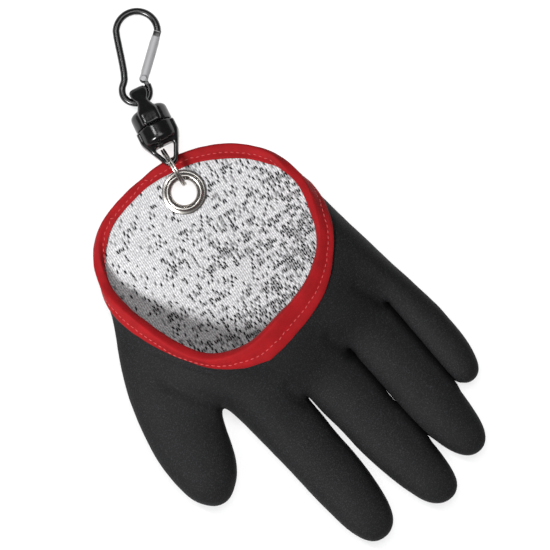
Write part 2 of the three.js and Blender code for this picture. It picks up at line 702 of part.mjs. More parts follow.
function carabinerFrame() {
  const points = [];
  const bowSteps = 10;
  for (let i = 0; i <= bowSteps; i++) {
    const angle = BOW_TURN * Math.PI * i / bowSteps;
    const across = BOW_OFFSET + BOW_RADIUS * Math.cos(angle);
    points.push(new THREE.Vector3(across, bowMiddle + BOW_RADIUS * Math.sin(angle), 0));
  }
  points.push(...SMALL_BEND.map(({ x, y }) => new THREE.Vector3(x, y, 0)));
  const path = new THREE.CatmullRomCurve3(points, false, "centripetal");
  const round = new THREE.Shape();
  round.absarc(0, 0, WIRE / 2, 0, 2 * Math.PI, false);
  const wire = new THREE.ExtrudeGeometry(round, {
    steps: 30, extrudePath: path, curveSegments: 4, bevelEnabled: false,
  });
  const along = NOSE.clone().sub(HINGE).normalize();
  const lean = Math.atan2(along.y, along.x) - Math.PI / 2;
  const end = points[points.length - 1];
  const reach = Math.hypot(end.x - HINGE.x, end.y - HINGE.y);
  const tongue = new THREE.BoxGeometry(TONGUE_WIDTH, reach + TONGUE / 2, TONGUE)
    .rotateZ(Math.atan2(end.y - HINGE.y, end.x - HINGE.x) - Math.PI / 2)
    .translate((end.x + HINGE.x) / 2, (end.y + HINGE.y) / 2, 0);
  const eye = upright(EYE_RADIUS, -TONGUE / 2, TONGUE / 2, 12).translate(HINGE.x, HINGE.y, 0);
  const nose = new THREE.BoxGeometry(NOSE_WIDTH, NOSE_LENGTH, TONGUE)
    .rotateZ(lean)
    .translate(NOSE.x - NOSE_INSET, NOSE.y - NOSE_DROP, 0);
  const hole = upright((RIVET + 2 * CLEARANCE) / 2, -WIRE, WIRE, 12).translate(HINGE.x, HINGE.y, 0);
  const whole = solidOf(wire).add(solidOf(tongue)).add(solidOf(eye)).add(solidOf(nose));
  return geometryOf(whole.subtract(solidOf(hole)));
}

function carabinerGate() {
  const along = NOSE.clone().sub(HINGE);
  const span = along.length();
  const lean = Math.atan2(along.y, along.x) - Math.PI / 2;
  const start = -GATE_DIAMETER / 4;
  const end = span - GATE_LAP;
  const sleeve = new THREE.CylinderGeometry(GATE_DIAMETER / 2, GATE_DIAMETER / 2, end - start, 12)
    .translate(0, (start + end) / 2, 0);
  const slot = (from, to) => new THREE.BoxGeometry(3 * GATE_DIAMETER, to - from, TONGUE + 2 * CLEARANCE)
    .translate(0, (from + to) / 2, 0);
  const hole = upright((RIVET + 2 * CLEARANCE) / 2, -GATE_DIAMETER, GATE_DIAMETER, 12);
  return geometryOf(solidOf(sleeve)
    .subtract(solidOf(slot(start - TONGUE, LOW_SLOT)))
    .subtract(solidOf(slot(end - HIGH_SLOT, end + TONGUE)))
    .subtract(solidOf(hole))).rotateZ(lean);
}

function gateRivet() {
  const under = GATE_DIAMETER / 2 + CLEARANCE;
  const over = under + RIVET_HEAD;
  return join(
    upright(RIVET / 2, -over + CLEARANCE, over - CLEARANCE, 12),
    upright(RIVET / 2 + RIVET_LIP, under, over, 12),
    upright(RIVET / 2 + RIVET_LIP, -over, -under, 12),
  );
}

// Assembly

function mesh(name, geometry, colour, roughness, metalness) {
  const material = new THREE.MeshStandardMaterial({ color: colour, roughness, metalness });
  const piece = new THREE.Mesh(geometry, material);
  piece.name = name;
  return piece;
}

const RED = 0xb3101c;
const BLACK_LATEX = 0x2b2c2e;
const KNIT_GREY = 0xc3c3c3;
const STEEL = 0xc8c6c4;
const BLACK_PLASTIC = 0x141414;

const glove = new THREE.Group();
glove.add(
  mesh("latex_coat", coat, BLACK_LATEX, 0.75, 0),
  mesh("knit_liner", liner, KNIT_GREY, 0.9, 0),
  mesh("cuff_binding", binding(), RED, 0.8, 0),
  mesh("eyelet", eyelet, STEEL, 0.2, 1),
  mesh("eyelet_washer", washer, STEEL, 0.2, 1),
);

const ring = mesh("split_ring", splitRing(), STEEL, 0.2, 1);
ring.position.set(ringAcross, ringAlong, ringHeight);
glove.add(ring);

// The release lies with the far rim of its upper cup on the surface and its near bail over
// the flap's edge, in the split ring.
const RELEASE_TURN = 14;         // degrees from the flap's own length
const TIP_OFFSET = 4.6;          // from the eyelet's middle to the bail's tip, across
const TIP_PAST_RING = 1;         // and from the ring's middle, along
const FLOOR_GAP = 0.1;
const halfLength = CUP_LENGTH + BAIL_REACH;
const tilt = radians(RELEASE_TILT);
const release = new THREE.Group();
const releaseHeight = (CUP_RADIUS + ARM) * Math.cos(tilt) + SHOULDER * Math.sin(tilt) + FLOOR_GAP;
const tipAlong = ringAlong + TIP_PAST_RING;
release.position.set(
  eyeletAcross + TIP_OFFSET + halfLength * Math.sin(radians(RELEASE_TURN)),
  tipAlong + halfLength * Math.cos(tilt) * Math.cos(radians(RELEASE_TURN)),
  releaseHeight,
);
release.rotation.set(-tilt, 0, radians(-RELEASE_TURN), "ZXY");
glove.add(release);

const seam = CLEARANCE / 2;
const lower = new THREE.Group();
lower.rotation.z = Math.PI;
lower.position.y = -seam;
lower.add(mesh("release_lower", releaseHalf(), BLACK_PLASTIC, 0.25, 0));
lower.add(mesh("magnet_lower", magnetDisc(), STEEL, 0.25, 1));
const upper = new THREE.Group();
upper.rotation.y = Math.PI / 2;
upper.position.y = seam;
upper.add(mesh("release_upper", releaseHalf(), BLACK_PLASTIC, 0.25, 0));
upper.add(mesh("magnet_upper", magnetDisc(), STEEL, 0.25, 1));
release.add(lower, upper);

const CARABINER_TURN = 40;
const CARABINER_TILT = 8;
const LUG_ACROSS = 0.9;          // where the upper bail's tip is, in the carabiner's plane
const LUG_ALONG = 2.85;
const carabiner = new THREE.Group();
carabiner.rotation.set(radians(-CARABINER_TILT), 0, radians(-CARABINER_TURN), "ZXY");
const bailTip = new THREE.Vector3(0, seam + halfLength, 0)
  .applyEuler(release.rotation)
  .add(release.position);
const lugInCarabiner = new THREE.Vector3(LUG_ACROSS, LUG_ALONG, 0).applyEuler(carabiner.rotation);
carabiner.position.copy(bailTip).sub(lugInCarabiner);
carabiner.add(mesh("carabiner_frame", carabinerFrame(), BLACK_PLASTIC, 0.35, 0.6));
const gate = mesh("carabiner_gate", carabinerGate(), STEEL, 0.3, 1);
const rivet = mesh("gate_rivet", gateRivet(), STEEL, 0.3, 1);
gate.position.set(HINGE.x, HINGE.y, 0);
rivet.position.set(HINGE.x, HINGE.y, 0);
carabiner.add(gate, rivet);
glove.add(carabiner);

// The origin is on the surface, under the middle of the whole
glove.updateMatrixWorld(true);
const bounds = new THREE.Box3().setFromObject(glove, true);
glove.position.set(-(bounds.min.x + bounds.max.x) / 2, -(bounds.min.y + bounds.max.y) / 2, 0);
glove.updateMatrixWorld(true);

export default glove;
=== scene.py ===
"""A fishing glove lying palm down: a knitted glove dipped in black latex, its open cuff bound in
red tape, with a metal eyelet, a split ring, a magnetic release and a small carabiner."""

import json
from math import cos, pi, radians, sin, sqrt

import bmesh
import bpy
from mathutils import Matrix, Vector, noise
from mathutils.bvhtree import BVHTree
from mathutils.kdtree import KDTree


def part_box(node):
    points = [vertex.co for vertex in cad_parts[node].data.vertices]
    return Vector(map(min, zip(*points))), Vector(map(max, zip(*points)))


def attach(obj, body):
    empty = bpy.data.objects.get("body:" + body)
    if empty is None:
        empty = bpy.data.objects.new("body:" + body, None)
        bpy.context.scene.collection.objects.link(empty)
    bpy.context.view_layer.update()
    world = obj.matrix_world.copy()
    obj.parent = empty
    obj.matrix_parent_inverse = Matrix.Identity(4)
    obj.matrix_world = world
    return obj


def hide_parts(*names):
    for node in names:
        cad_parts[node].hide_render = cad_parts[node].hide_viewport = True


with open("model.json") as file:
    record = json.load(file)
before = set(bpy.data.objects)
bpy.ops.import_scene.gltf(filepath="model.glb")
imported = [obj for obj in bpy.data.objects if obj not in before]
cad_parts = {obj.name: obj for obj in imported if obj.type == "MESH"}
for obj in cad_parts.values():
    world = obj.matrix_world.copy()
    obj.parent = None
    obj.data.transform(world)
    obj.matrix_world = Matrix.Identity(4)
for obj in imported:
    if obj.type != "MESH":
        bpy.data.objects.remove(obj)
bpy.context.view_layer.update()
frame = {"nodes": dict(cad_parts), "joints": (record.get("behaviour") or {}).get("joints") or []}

MM = 0.001

# The photograph looks straight down on the glove, with the fingers to the lower right.
CAMERA_TURN = -40                     # degrees about the vertical
CAMERA_HEIGHT = 4.0                   # far off, so the view has almost no perspective
PHOTO_WIDTH = 275 * MM                # what the photograph covers on the surface
PHOTO_MIDDLE = Vector((26.3, -3.3, 0)) * MM
SENSOR = 36.0


# Meshes

def merged_copy(node):
    """A CAD node's loose triangles, joined where they touch."""
    bm = bmesh.new()
    bm.from_mesh(frame["nodes"][node].data)
    bmesh.ops.remove_doubles(bm, verts=bm.verts, dist=0.01 * MM)
    return bm


SHARP_EDGE = radians(50)              # more than this parts the outer wall from the inner one


def keep_wall(bm, seed):
    """Keeps the faces reached from the one nearest seed without turning over a sharp edge."""
    start = min(bm.faces, key=lambda face: (face.calc_center_median() - seed).length)
    wall = {start}
    ahead = [start]
    while ahead:
        for edge in ahead.pop().edges:
            if edge.calc_face_angle(pi) > SHARP_EDGE:
                continue
            for face in edge.link_faces:
                if face not in wall:
                    wall.add(face)
                    ahead.append(face)
    bmesh.ops.delete(bm, geom=[face for face in bm.faces if face not in wall], context="FACES")


def make_quads(bm):
    """Joins the CAD's pairs of triangles again, so that they subdivide evenly."""
    bmesh.ops.join_triangles(
        bm, faces=bm.faces, angle_face_threshold=radians(60), angle_shape_threshold=radians(70))


def new_object(name, mesh):
    piece = bpy.data.objects.new(name, mesh)
    bpy.context.scene.collection.objects.link(piece)
    return piece


def from_bmesh(name, bm):
    mesh = bpy.data.meshes.new(name)
    bm.to_mesh(mesh)
    bm.free()
    return new_object(name, mesh)


def applied(piece):
    """Turns a piece's modifiers, or its curve, into plain mesh."""
    bpy.context.view_layer.update()
    shown = piece.evaluated_get(bpy.context.evaluated_depsgraph_get())
    mesh = bpy.data.meshes.new_from_object(shown)
    name = piece.name
    bpy.data.objects.remove(piece)
    mesh.name = name
    return new_object(name, mesh)


def waves(point, rows):
    """Soft waves in millimetres, each row a wave's size and its height."""
    return sum(noise.noise(point / (size * MM)) * height for size, height in rows)


def rounded(piece, levels):
    """Subdivides a piece until its faces read as one soft surface."""
    modifier = piece.modifiers.new("rounding", "SUBSURF")
    modifier.levels = levels
    modifier.render_levels = levels
    return applied(piece)


def walled(piece, thickness):
    """Gives a skin its wall, inwards."""
    modifier = piece.modifiers.new("wall", "SOLIDIFY")
    modifier.thickness = thickness
    modifier.offset = -1
    return applied(piece)


def lathe(profile, steps=96):
    """A profile of radius and height turned round Z."""
    bm = bmesh.new()
    points = [bm.verts.new((r * MM, 0, z * MM)) for r, z in profile]
    edges = [bm.edges.new(pair) for pair in zip(points, points[1:])]
    bmesh.ops.spin(bm, geom=points + edges, axis=(0, 0, 1), cent=(0, 0, 0), angle=2 * pi,
                   steps=steps, use_merge=True, use_duplicate=False, use_normal_flip=False)
    bmesh.ops.remove_doubles(bm, verts=bm.verts, dist=0.002 * MM)
    bmesh.ops.recalc_face_normals(bm, faces=bm.faces)
    return bm


def lathe_along_y(profile, steps):
    """A profile of radius and height turned round Y."""
    bm = lathe(profile, steps)
    bmesh.ops.rotate(bm, verts=bm.verts, cent=(0, 0, 0), matrix=Matrix.Rotation(radians(-90), 3, "X"))
    return bm


def bar(path, radius, name):
    """A round wire along a path, in millimetres."""
    curve = bpy.data.curves.new(name, "CURVE")
    curve.dimensions = "3D"
    curve.bevel_depth = radius * MM
    curve.bevel_resolution = 6
    curve.use_fill_caps = True
    spline = curve.splines.new("POLY")
    spline.points.add(len(path) - 1)
    for point, place in zip(spline.points, path):
        point.co = (*[value * MM for value in place], 1)
    return applied(new_object(name, curve))


def plate(outlines, thickness, edge, name):
    """A flat plate with rounded edges: the first outline is its rim, the others are its holes."""
    curve = bpy.data.curves.new(name, "CURVE")
    curve.dimensions = "2D"
    curve.fill_mode = "BOTH"
    curve.extrude = (thickness / 2 - edge) * MM
    curve.bevel_depth = edge * MM
    curve.bevel_resolution = 3
    curve.offset = -edge * MM
    for outline in outlines:
        spline = curve.splines.new("POLY")
        spline.points.add(len(outline) - 1)
        for point, (x, y) in zip(spline.points, outline):
            point.co = (x * MM, y * MM, 0, 1)
        spline.use_cyclic_u = True
    return applied(new_object(name, curve))


def arc(centre, radius, start, end, steps):
    """Points on a round stretch of an outline, between two angles in degrees."""
    return [(centre[0] + radius * cos(radians(start + (end - start) * i / steps)),
             centre[1] + radius * sin(radians(start + (end - start) * i / steps)))
            for i in range(steps + 1)]


def joined(name, pieces):
    """One mesh of several, each already in place."""
    bm = bmesh.new()
    for piece in pieces:
        bm.from_mesh(piece.data)
        bpy.data.objects.remove(piece)
    return from_bmesh(name, bm)


def placed(piece, matrix):
    piece.data.transform(matrix)
    return piece


def smooth(piece, angle):
    """Rounds the shading, and leaves edges sharper than the angle."""
    piece.data.shade_smooth()
    piece.data.set_sharp_from_angle(angle=radians(angle))
    return piece


def dress(piece, material, body, slot, *nodes):
    """A finish, the body that the piece rides on and the nodes that it stands for."""
    piece.data.materials.clear()
    piece.data.materials.append(material)
    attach(piece, body)
    if nodes:
        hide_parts(*nodes)
    return piece


# Finishes

def linear(colour):
    """An sRGB hex value as linear light."""
    channels = [int(colour[i:i + 2], 16) / 255 for i in (1, 3, 5)]
    return (*[c / 12.92 if c <= 0.04045 else ((c + 0.055) / 1.055) ** 2.4 for c in channels], 1)


def add(tree, kind, feeds=None, **settings):
    """A node with its settings, and its inputs fed by values or by other nodes' outputs."""
    node = tree.nodes.new("ShaderNode" + kind)
    for name, value in settings.items():
        setattr(node, name, value)
    for name, value in (feeds or {}).items():
        if isinstance(value, bpy.types.NodeSocket):
            tree.links.new(value, node.inputs[name])
        else:
            node.inputs[name].default_value = value
    return node


SOCKETS = {"colour": "Base Color", "roughness": "Roughness", "metallic": "Metallic", "ior": "IOR",
           "sheen": "Sheen Weight", "sheen_roughness": "Sheen Roughness", "level": "Specular IOR Level"}


def finish_named(name, **feeds):
    """A material with one shader, whose steady values sit on its own sockets."""
    material = bpy.data.materials.new(name)
    material.use_nodes = True
    tree = material.node_tree
    tree.nodes.clear()
    shader = add(tree, "BsdfPrincipled", {SOCKETS[key]: value for key, value in feeds.items()})
    add(tree, "OutputMaterial", {"Surface": shader.outputs[0]})
    return material, tree, shader


def crinkled_latex():
    """Natural latex, dipped and crinkled while wet: matt charcoal with a fine sandy grain."""
    material, tree, shader = finish_named(
        "crinkled_latex", colour=linear("#171718"), roughness=0.68, ior=1.52, level=0.14)
    place = add(tree, "TexCoord").outputs["Object"]
    grain = add(tree, "TexNoise", {"Vector": place, "Scale": 1 / (0.9 * MM), "Detail": 3.0,
                                   "Roughness": 0.65})
    sand = add(tree, "TexNoise", {"Vector": place, "Scale": 1 / (0.55 * MM), "Detail": 1.0})
    patch = add(tree, "TexNoise", {"Vector": place, "Scale": 1 / (28 * MM), "Detail": 2.0})
    specks = add(tree, "MapRange", {"Value": sand.outputs[0], "From Min": 0.5, "From Max": 0.78})
    shade = add(tree, "MapRange", {"Value": patch.outputs[0], "From Min": 0.3, "From Max": 0.7,
                                   "To Min": 0.0, "To Max": 0.35})
    ground = add(tree, "Mix", {"Factor": shade.outputs[0], "A": linear("#141415"), "B": linear("#1b1b1c")},
                 data_type="RGBA")
    colour = add(tree, "Mix", {"Factor": specks.outputs[0], "A": ground.outputs["Result"],
                               "B": linear("#2e2e30")}, data_type="RGBA")
    bump = add(tree, "Bump", {"Height": grain.outputs[0], "Strength": 0.8, "Distance": 0.3 * MM})
    tree.links.new(colour.outputs["Result"], shader.inputs["Base Color"])
    tree.links.new(bump.outputs[0], shader.inputs["Normal"])
    return material


LEG = 1.1 * MM                        # width of one leg of a stitch, two to a wale
COURSE = 2.1 * MM                     # length of a leg, along the wale
ACROSS_WALES = (0.99, -0.14, 0.3)
ALONG_WALES = (0.14, 0.99, 0.45)


def heather_knit():
    """Polyester and cotton jersey: pale grey stitches with dark yarn flecks along the wales."""
    material, tree, shader = finish_named(
        "heather_knit", colour=linear("#c6c6c7"), roughness=0.92, level=0.15)

    def maths(operation, *values):
        return add(tree, "Math", dict(enumerate(values)), operation=operation).outputs[0]

    place = add(tree, "TexCoord").outputs["Object"]
    wander = add(tree, "TexNoise", {"Vector": place, "Scale": 1 / (7 * MM), "Detail": 2.0}).outputs[0]
    across = add(tree, "VectorMath", {0: place, 1: [v / LEG for v in ACROSS_WALES]},
                 operation="DOT_PRODUCT").outputs["Value"]
    along = add(tree, "VectorMath", {0: place, 1: [v / COURSE for v in ALONG_WALES]},
                operation="DOT_PRODUCT").outputs["Value"]
    leg = maths("MULTIPLY_ADD", wander, 1.6, across)
    tilt = maths("PINGPONG", leg, 1.0)
    row = maths("MULTIPLY_ADD", tilt, 0.55, maths("MULTIPLY_ADD", wander, 1.3, along))
    cell = add(tree, "CombineXYZ", {0: maths("FLOOR", leg), 1: maths("FLOOR", row)}).outputs[0]
    dice = add(tree, "TexWhiteNoise", {"Vector": cell}, noise_dimensions="2D")
    parts = add(tree, "SeparateColor", {0: dice.outputs["Color"]})

    # how full of yarn each spot is, from 1 in the middle of a leg to 0 between two
    fray = add(tree, "TexNoise", {"Vector": place, "Scale": 1 / (0.8 * MM), "Detail": 2.0}).outputs[0]
    x = maths("SUBTRACT", maths("FRACT", leg), 0.5)
    y = maths("SUBTRACT", maths("FRACT", row), 0.5)
    reach = maths("MULTIPLY_ADD", maths("MULTIPLY", y, y), 0.75, maths("MULTIPLY", x, x))
    frayed = maths("MULTIPLY_ADD", fray, 0.22, reach)
    yarn = add(tree, "MapRange", {"Value": frayed, "From Min": 0.38, "From Max": 0.14}).outputs[0]

    # dark yarn comes in bands along the courses, and more of it to the right and the front
    band_place = add(tree, "VectorMath", {0: cell, 1: (0.045, 0.55, 0)}, operation="MULTIPLY").outputs[0]
    bands = add(tree, "TexNoise", {"Vector": band_place, "Scale": 1.0, "Detail": 1.0},
                noise_dimensions="2D").outputs[0]
    cloud = add(tree, "TexNoise", {"Vector": place, "Scale": 1 / (30 * MM), "Detail": 2.0}).outputs[0]
    side = add(tree, "VectorMath", {0: place, 1: (3.2, -4.6, 0)}, operation="DOT_PRODUCT").outputs["Value"]
    crowd = maths("MULTIPLY_ADD", cloud, 0.5, maths("MULTIPLY_ADD", bands, 0.9, side))
    share = add(tree, "MapRange", {"Value": crowd, "From Min": 0.5, "From Max": 1.02,
                                   "To Min": 0.1, "To Max": 0.85}).outputs[0]
    chosen = maths("LESS_THAN", parts.outputs[0], share)
    depth = add(tree, "MapRange", {"Value": parts.outputs[1], "To Min": 0.6, "To Max": 1.3}).outputs[0]
    core = add(tree, "MapRange", {"Value": yarn, "From Min": 0.1, "From Max": 0.75}).outputs[0]
    fleck = maths("MINIMUM", maths("MULTIPLY", maths("MULTIPLY", chosen, depth), core), 1.0)

    tone = maths("MULTIPLY_ADD", parts.outputs[2], 0.4, maths("MULTIPLY", fray, 0.6))
    bright = add(tree, "Mix", {"Factor": tone, "A": linear("#b2b2b4"), "B": linear("#f4f4f5")},
                 data_type="RGBA").outputs["Result"]
    ground = add(tree, "Mix", {"Factor": yarn, "A": linear("#a6a6a8"), "B": bright},
                 data_type="RGBA").outputs["Result"]
    colour = add(tree, "Mix", {"Factor": fleck, "A": ground, "B": linear("#18181a")},
                 data_type="RGBA").outputs["Result"]
    bump = add(tree, "Bump", {"Height": yarn, "Strength": 0.6, "Distance": 0.35 * MM})
    tree.links.new(colour, shader.inputs["Base Color"])
    tree.links.new(bump.outputs[0], shader.inputs["Normal"])
    return material


def woven_tape():
    """Polyester binding tape, woven fine and dyed red: a trace of sheen over a tight diagonal weave."""
    material, tree, shader = finish_named(
        "woven_tape", colour=linear("#a30f16"), roughness=0.75, sheen=0.03, sheen_roughness=0.4, level=0.2)
    place = add(tree, "TexCoord").outputs["Object"]
    threads = add(tree, "TexWave", {"Vector": place, "Scale": 1 / (7.5 * MM), "Distortion": 1.5,
                                    "Detail": 1.0, "Detail Scale": 3.0},
                  wave_type="BANDS", bands_direction="DIAGONAL")
    weave = add(tree, "TexNoise", {"Vector": place, "Scale": 1 / (0.6 * MM), "Detail": 2.0})
    fade = add(tree, "TexNoise", {"Vector": place, "Scale": 1 / (7 * MM), "Detail": 3.0})
    worn = add(tree, "MapRange", {"Value": fade.outputs[0], "From Min": 0.35, "From Max": 0.68})
    ground = add(tree, "Mix", {"Factor": worn.outputs[0], "A": linear("#850a10"), "B": linear("#a31017")},
                 data_type="RGBA")
    colour = add(tree, "Mix", {"Factor": weave.outputs[0], "A": ground.outputs["Result"],
                               "B": linear("#900a10")}, data_type="RGBA")
    height = add(tree, "Math", {0: threads.outputs[1], 1: 0.5, 2: weave.outputs[0]}, operation="MULTIPLY_ADD")
    bump = add(tree, "Bump", {"Height": height.outputs[0], "Strength": 0.35, "Distance": 0.25 * MM})
    tree.links.new(colour.outputs["Result"], shader.inputs["Base Color"])
    tree.links.new(bump.outputs[0], shader.inputs["Normal"])
    return material


def sewing_thread():
    """Polyester thread, a shade lighter than the tape that it is sewn into."""
    return finish_named("sewing_thread", colour=linear("#bd3a3c"), roughness=0.5, sheen=0.2, ior=1.5)[0]


def polished_nickel():
    """Steel with a polished nickel plating, softly bright and the same all over."""
    return finish_named("polished_nickel", colour=linear("#bcb8b3"), roughness=0.27, metallic=1.0)[0]


def moulded_plastic():
    """ABS moulded in a polished tool: black, glossy, with a trace of fine scuffs."""
    material, tree, shader = finish_named(
        "moulded_plastic", colour=linear("#0c0c0d"), roughness=0.2, ior=1.54, level=0.5)
    place = add(tree, "TexCoord").outputs["Object"]
    scuffs = add(tree, "TexNoise", {"Vector": place, "Scale": 1 / (1.6 * MM), "Detail": 5.0})
    rough = add(tree, "MapRange", {"Value": scuffs.outputs[0], "From Min": 0.35, "From Max": 0.7,
                                   "To Min": 0.14, "To Max": 0.26})
    bump = add(tree, "Bump", {"Height": scuffs.outputs[0], "Strength": 0.08, "Distance": 0.05 * MM})
    tree.links.new(rough.outputs[0], shader.inputs["Roughness"])
    tree.links.new(bump.outputs[0], shader.inputs["Normal"])
    return material


def anodised_wire():
    """Aluminium wire, black anodised: a dark satin metal with bright lines where it turns."""
    material, tree, shader = finish_named(
        "anodised_wire", colour=linear("#0d0d0e"), roughness=0.26, ior=1.6, level=0.5)
    place = add(tree, "TexCoord").outputs["Object"]
    wear = add(tree, "TexNoise", {"Vector": place, "Scale": 1 / (3 * MM), "Detail": 4.0})
    rough = add(tree, "MapRange", {"Value": wear.outputs[0], "From Min": 0.35, "From Max": 0.7,
                                   "To Min": 0.2, "To Max": 0.32})
    tree.links.new(rough.outputs[0], shader.inputs["Roughness"])
    return material


def satin_aluminium():
    """Aluminium under a satin silver lacquer, with a faint haze."""
    material, tree, shader = finish_named(
        "satin_aluminium", colour=linear("#a9a9ab"), roughness=0.5, metallic=0.3, level=0.3)
    place = add(tree, "TexCoord").outputs["Object"]
    haze = add(tree, "TexNoise", {"Vector": place, "Scale": 1 / (0.8 * MM), "Detail": 3.0})
    rough = add(tree, "MapRange", {"Value": haze.outputs[0], "To Min": 0.48, "To Max": 0.62})
    tree.links.new(rough.outputs[0], shader.inputs["Roughness"])
    return material


def magnet_plating():
    """Neodymium disc, nickel plated: bright and slightly yellow."""
    return finish_named("magnet_plating", colour=linear("#cbc8c0"), roughness=0.2, metallic=1.0)[0]


LATEX = crinkled_latex()
KNIT = heather_knit()
TAPE = woven_tape()
THREAD = sewing_thread()
NICKEL = polished_nickel()
PLASTIC = moulded_plastic()
WIRE = anodised_wire()
GATE = satin_aluminium()
MAGNET = magnet_plating()


# Latex coat

PALM_SEED = Vector((24, -33, 0)) * MM    # on the palm, where it lies on the surface
COAT_WALL = 0.9 * MM
COAT_SLACK = [(16, 0.35), (6, 0.12)]     # waves' sizes and heights
FLAT_UNDERSIDE = 3 * MM                  # below this the coat is pressed flat by its weight
LOWEST = 0.02 * MM                       # just clear of the floor

# Dents pressed into the back where the fingers part and the thumb folds, in millimetres: where each
# line of pressure starts and ends, how far it reaches to each side, and how deep it goes
DENTS = [
    {"start": (-50, -10), "end": (-36, -36), "width": 5, "depth": 1.2},
    {"start": (-5, -50), "end": (-3, -62), "width": 4, "depth": 1.0},
    {"start": (27, -44), "end": (30, -58), "width": 4, "depth": 1.2},
    {"start": (54, -34), "end": (59, -50), "width": 4, "depth": 1.2},
]

# Sides of fingers that swell towards their neighbours, in the same columns
SWELLS = [
    {"start": (59, -54), "end": (60.5, -101), "width": 6, "depth": 0.9},
    {"start": (30.9, -64), "end": (29.8, -78), "width": 6, "depth": 0.6},
    {"start": (31, -96), "end": (31, -112), "width": 6, "depth": 0.8},
]


def pressed(rows, point):
    """How deep the deepest of the rows reaches at a point."""
    deep = 0.0
    for row in rows:
        start = Vector(row["start"]) * MM
        line = Vector(row["end"]) * MM - start
        share = max(0.0, min(1.0, (point.xy - start).dot(line) / line.length_squared))
        away = (point.xy - start - line * share).length / (row["width"] * MM)
        if away < 1:
            deep = max(deep, row["depth"] * (1 - away * away) ** 2)
    return deep * MM


def dent(point, outward):
    """How deep the dents go at a point of the glove's back."""
    return pressed(DENTS, point) if outward.z > 0.1 else 0.0


def latex_coat():
    """The dipped coat's outer skin, slack and dented. Its open edges are the cuff's and the eyelet's."""
    bm = merged_copy("latex_coat")
    keep_wall(bm, PALM_SEED)
    make_quads(bm)
    coat = rounded(from_bmesh("latex_coat_skin", bm), 2)
    bm = bmesh.new()
    bm.from_mesh(coat.data)
    bm.normal_update()
    moves = []
    for vert in bm.verts:
        lift = max(0.0, min(1.0, vert.co.z / FLAT_UNDERSIDE))
        swell = pressed(SWELLS, vert.co) + waves(vert.co, COAT_SLACK) * MM
        moves.append(vert.normal * (swell * lift - dent(vert.co, vert.normal)))
    for vert, move in zip(bm.verts, moves):
        vert.co += move
        vert.co.z = max(vert.co.z, LOWEST)
    bm.to_mesh(coat.data)
    bm.free()
    return coat


coat = latex_coat()
rim_source = coat.data.copy()
coat = walled(coat, COAT_WALL)
dress(smooth(coat, 60), LATEX, "glove", "latex", "latex_coat")


# Knitted liner

LINER_WALL = 0.5 * MM
LINER_INSIDE = Vector((0, 0, 2.3 * MM))  # from the coat's underside up to the liner's inner wall


def knit_liner():
    """The liner's inner skin, with the coat's dents, and its wall behind it."""
    bm = merged_copy("knit_liner")
    keep_wall(bm, PALM_SEED + LINER_INSIDE)
    make_quads(bm)
    liner = rounded(from_bmesh("knit_liner_skin", bm), 2)
    moves = [vert.normal * dent(vert.co, -vert.normal) for vert in liner.data.vertices]
    for vert, move in zip(liner.data.vertices, moves):
        vert.co += move
    return walled(liner, LINER_WALL)


liner = knit_liner()
dress(smooth(liner, 60), KNIT, "glove", "knit", "knit_liner")


# Red tape round the cuff, and its stitches

# In millimetres, except for the share
STITCH_PITCH = 2.9
STITCH_LENGTH = 2.1
THREAD_RADIUS = 0.27
STITCH_SHARE = 0.58                      # from the folded edge, as a share of the tape's width
STITCH_STEP = 0.5                        # how finely the tape's width is felt for
TAPE_REACH = 15.5                        # how far inwards, which is past the tape's width
FEELER = 7                               # where a ray starts, off the coat's rim
FEELER_LENGTH = 11
LONGEST_GAP = 6                          # longer jumps along a line of stitches aren't sewn
GROOVE_DEPTH = 0.38
GROOVE_WIDTH = 1.9                       # to each side of the stitches
TAPE_PUCKER = [(5, 0.19), (13, 0.48)]    # waves' sizes and heights


def rim_points():
    """The coat's open rim in order: each place, with its direction inwards and its normal."""
    bm = bmesh.new()
    bm.from_mesh(rim_source)
    bm.normal_update()
    loops = []
    left = {edge for edge in bm.edges if edge.is_boundary}
    while left:
        edge = min(left, key=lambda edge: edge.index)
        left.discard(edge)
        loop = [edge.verts[0], edge.verts[1]]
        while True:
            step = next((e for e in loop[-1].link_edges if e in left), None)
            if step is None:
                break
            left.discard(step)
            loop.append(step.other_vert(loop[-1]))
        loops.append(loop[:-1] if loop[0] == loop[-1] else loop)
    loop = max(loops, key=lambda loop: sum((a.co - b.co).length for a, b in zip(loop, loop[1:])))
    found = []
    for i, vert in enumerate(loop):
        ahead = (loop[(i + 1) % len(loop)].co - loop[i - 1].co).normalized()
        inward = vert.normal.cross(ahead).normalized()
        middle = sum((f.calc_center_median() for f in vert.link_faces), Vector()) / len(vert.link_faces)
        if (middle - vert.co).dot(inward) < 0:
            inward.negate()
        found.append((vert.co.copy(), inward, vert.normal.copy()))
    bm.free()
    return found


def tape_mesh():
    """The folded tape, rounded."""
    bm = merged_copy("cuff_binding")
    make_quads(bm)
    return rounded(from_bmesh("cuff_binding_tape", bm), 2)


def stitch_line(tree, rim, side):
    """Where the stitches run on one face of the tape, with the face's normal there."""
    line = []
    for point, inward, normal in rim:
        out = normal * side
        hits = []
        for step in range(1, int(TAPE_REACH / STITCH_STEP) + 1):
            start = point + inward * step * STITCH_STEP * MM + out * FEELER * MM
            hit, face, _, _ = tree.ray_cast(start, -out, FEELER_LENGTH * MM)
            if hit and face.dot(out) > 0.3:
                hits.append((hit, face))
        if hits:
            line.append(hits[int(STITCH_SHARE * (len(hits) - 1))])
    return line


def evenly(line, pitch):
    """Places along a closed line, a pitch apart, each with its direction."""
    places = []
    carried = 0.0
    for (a, normal), (b, _) in zip(line, line[1:] + line[:1]):
        gap = b - a
        if gap.length > LONGEST_GAP * MM or gap.length < 0.0001 * MM:
            continue
        while carried < gap.length:
            places.append((a + gap * (carried / gap.length), gap.normalized(), normal))
            carried += pitch
        carried -= gap.length
    return places


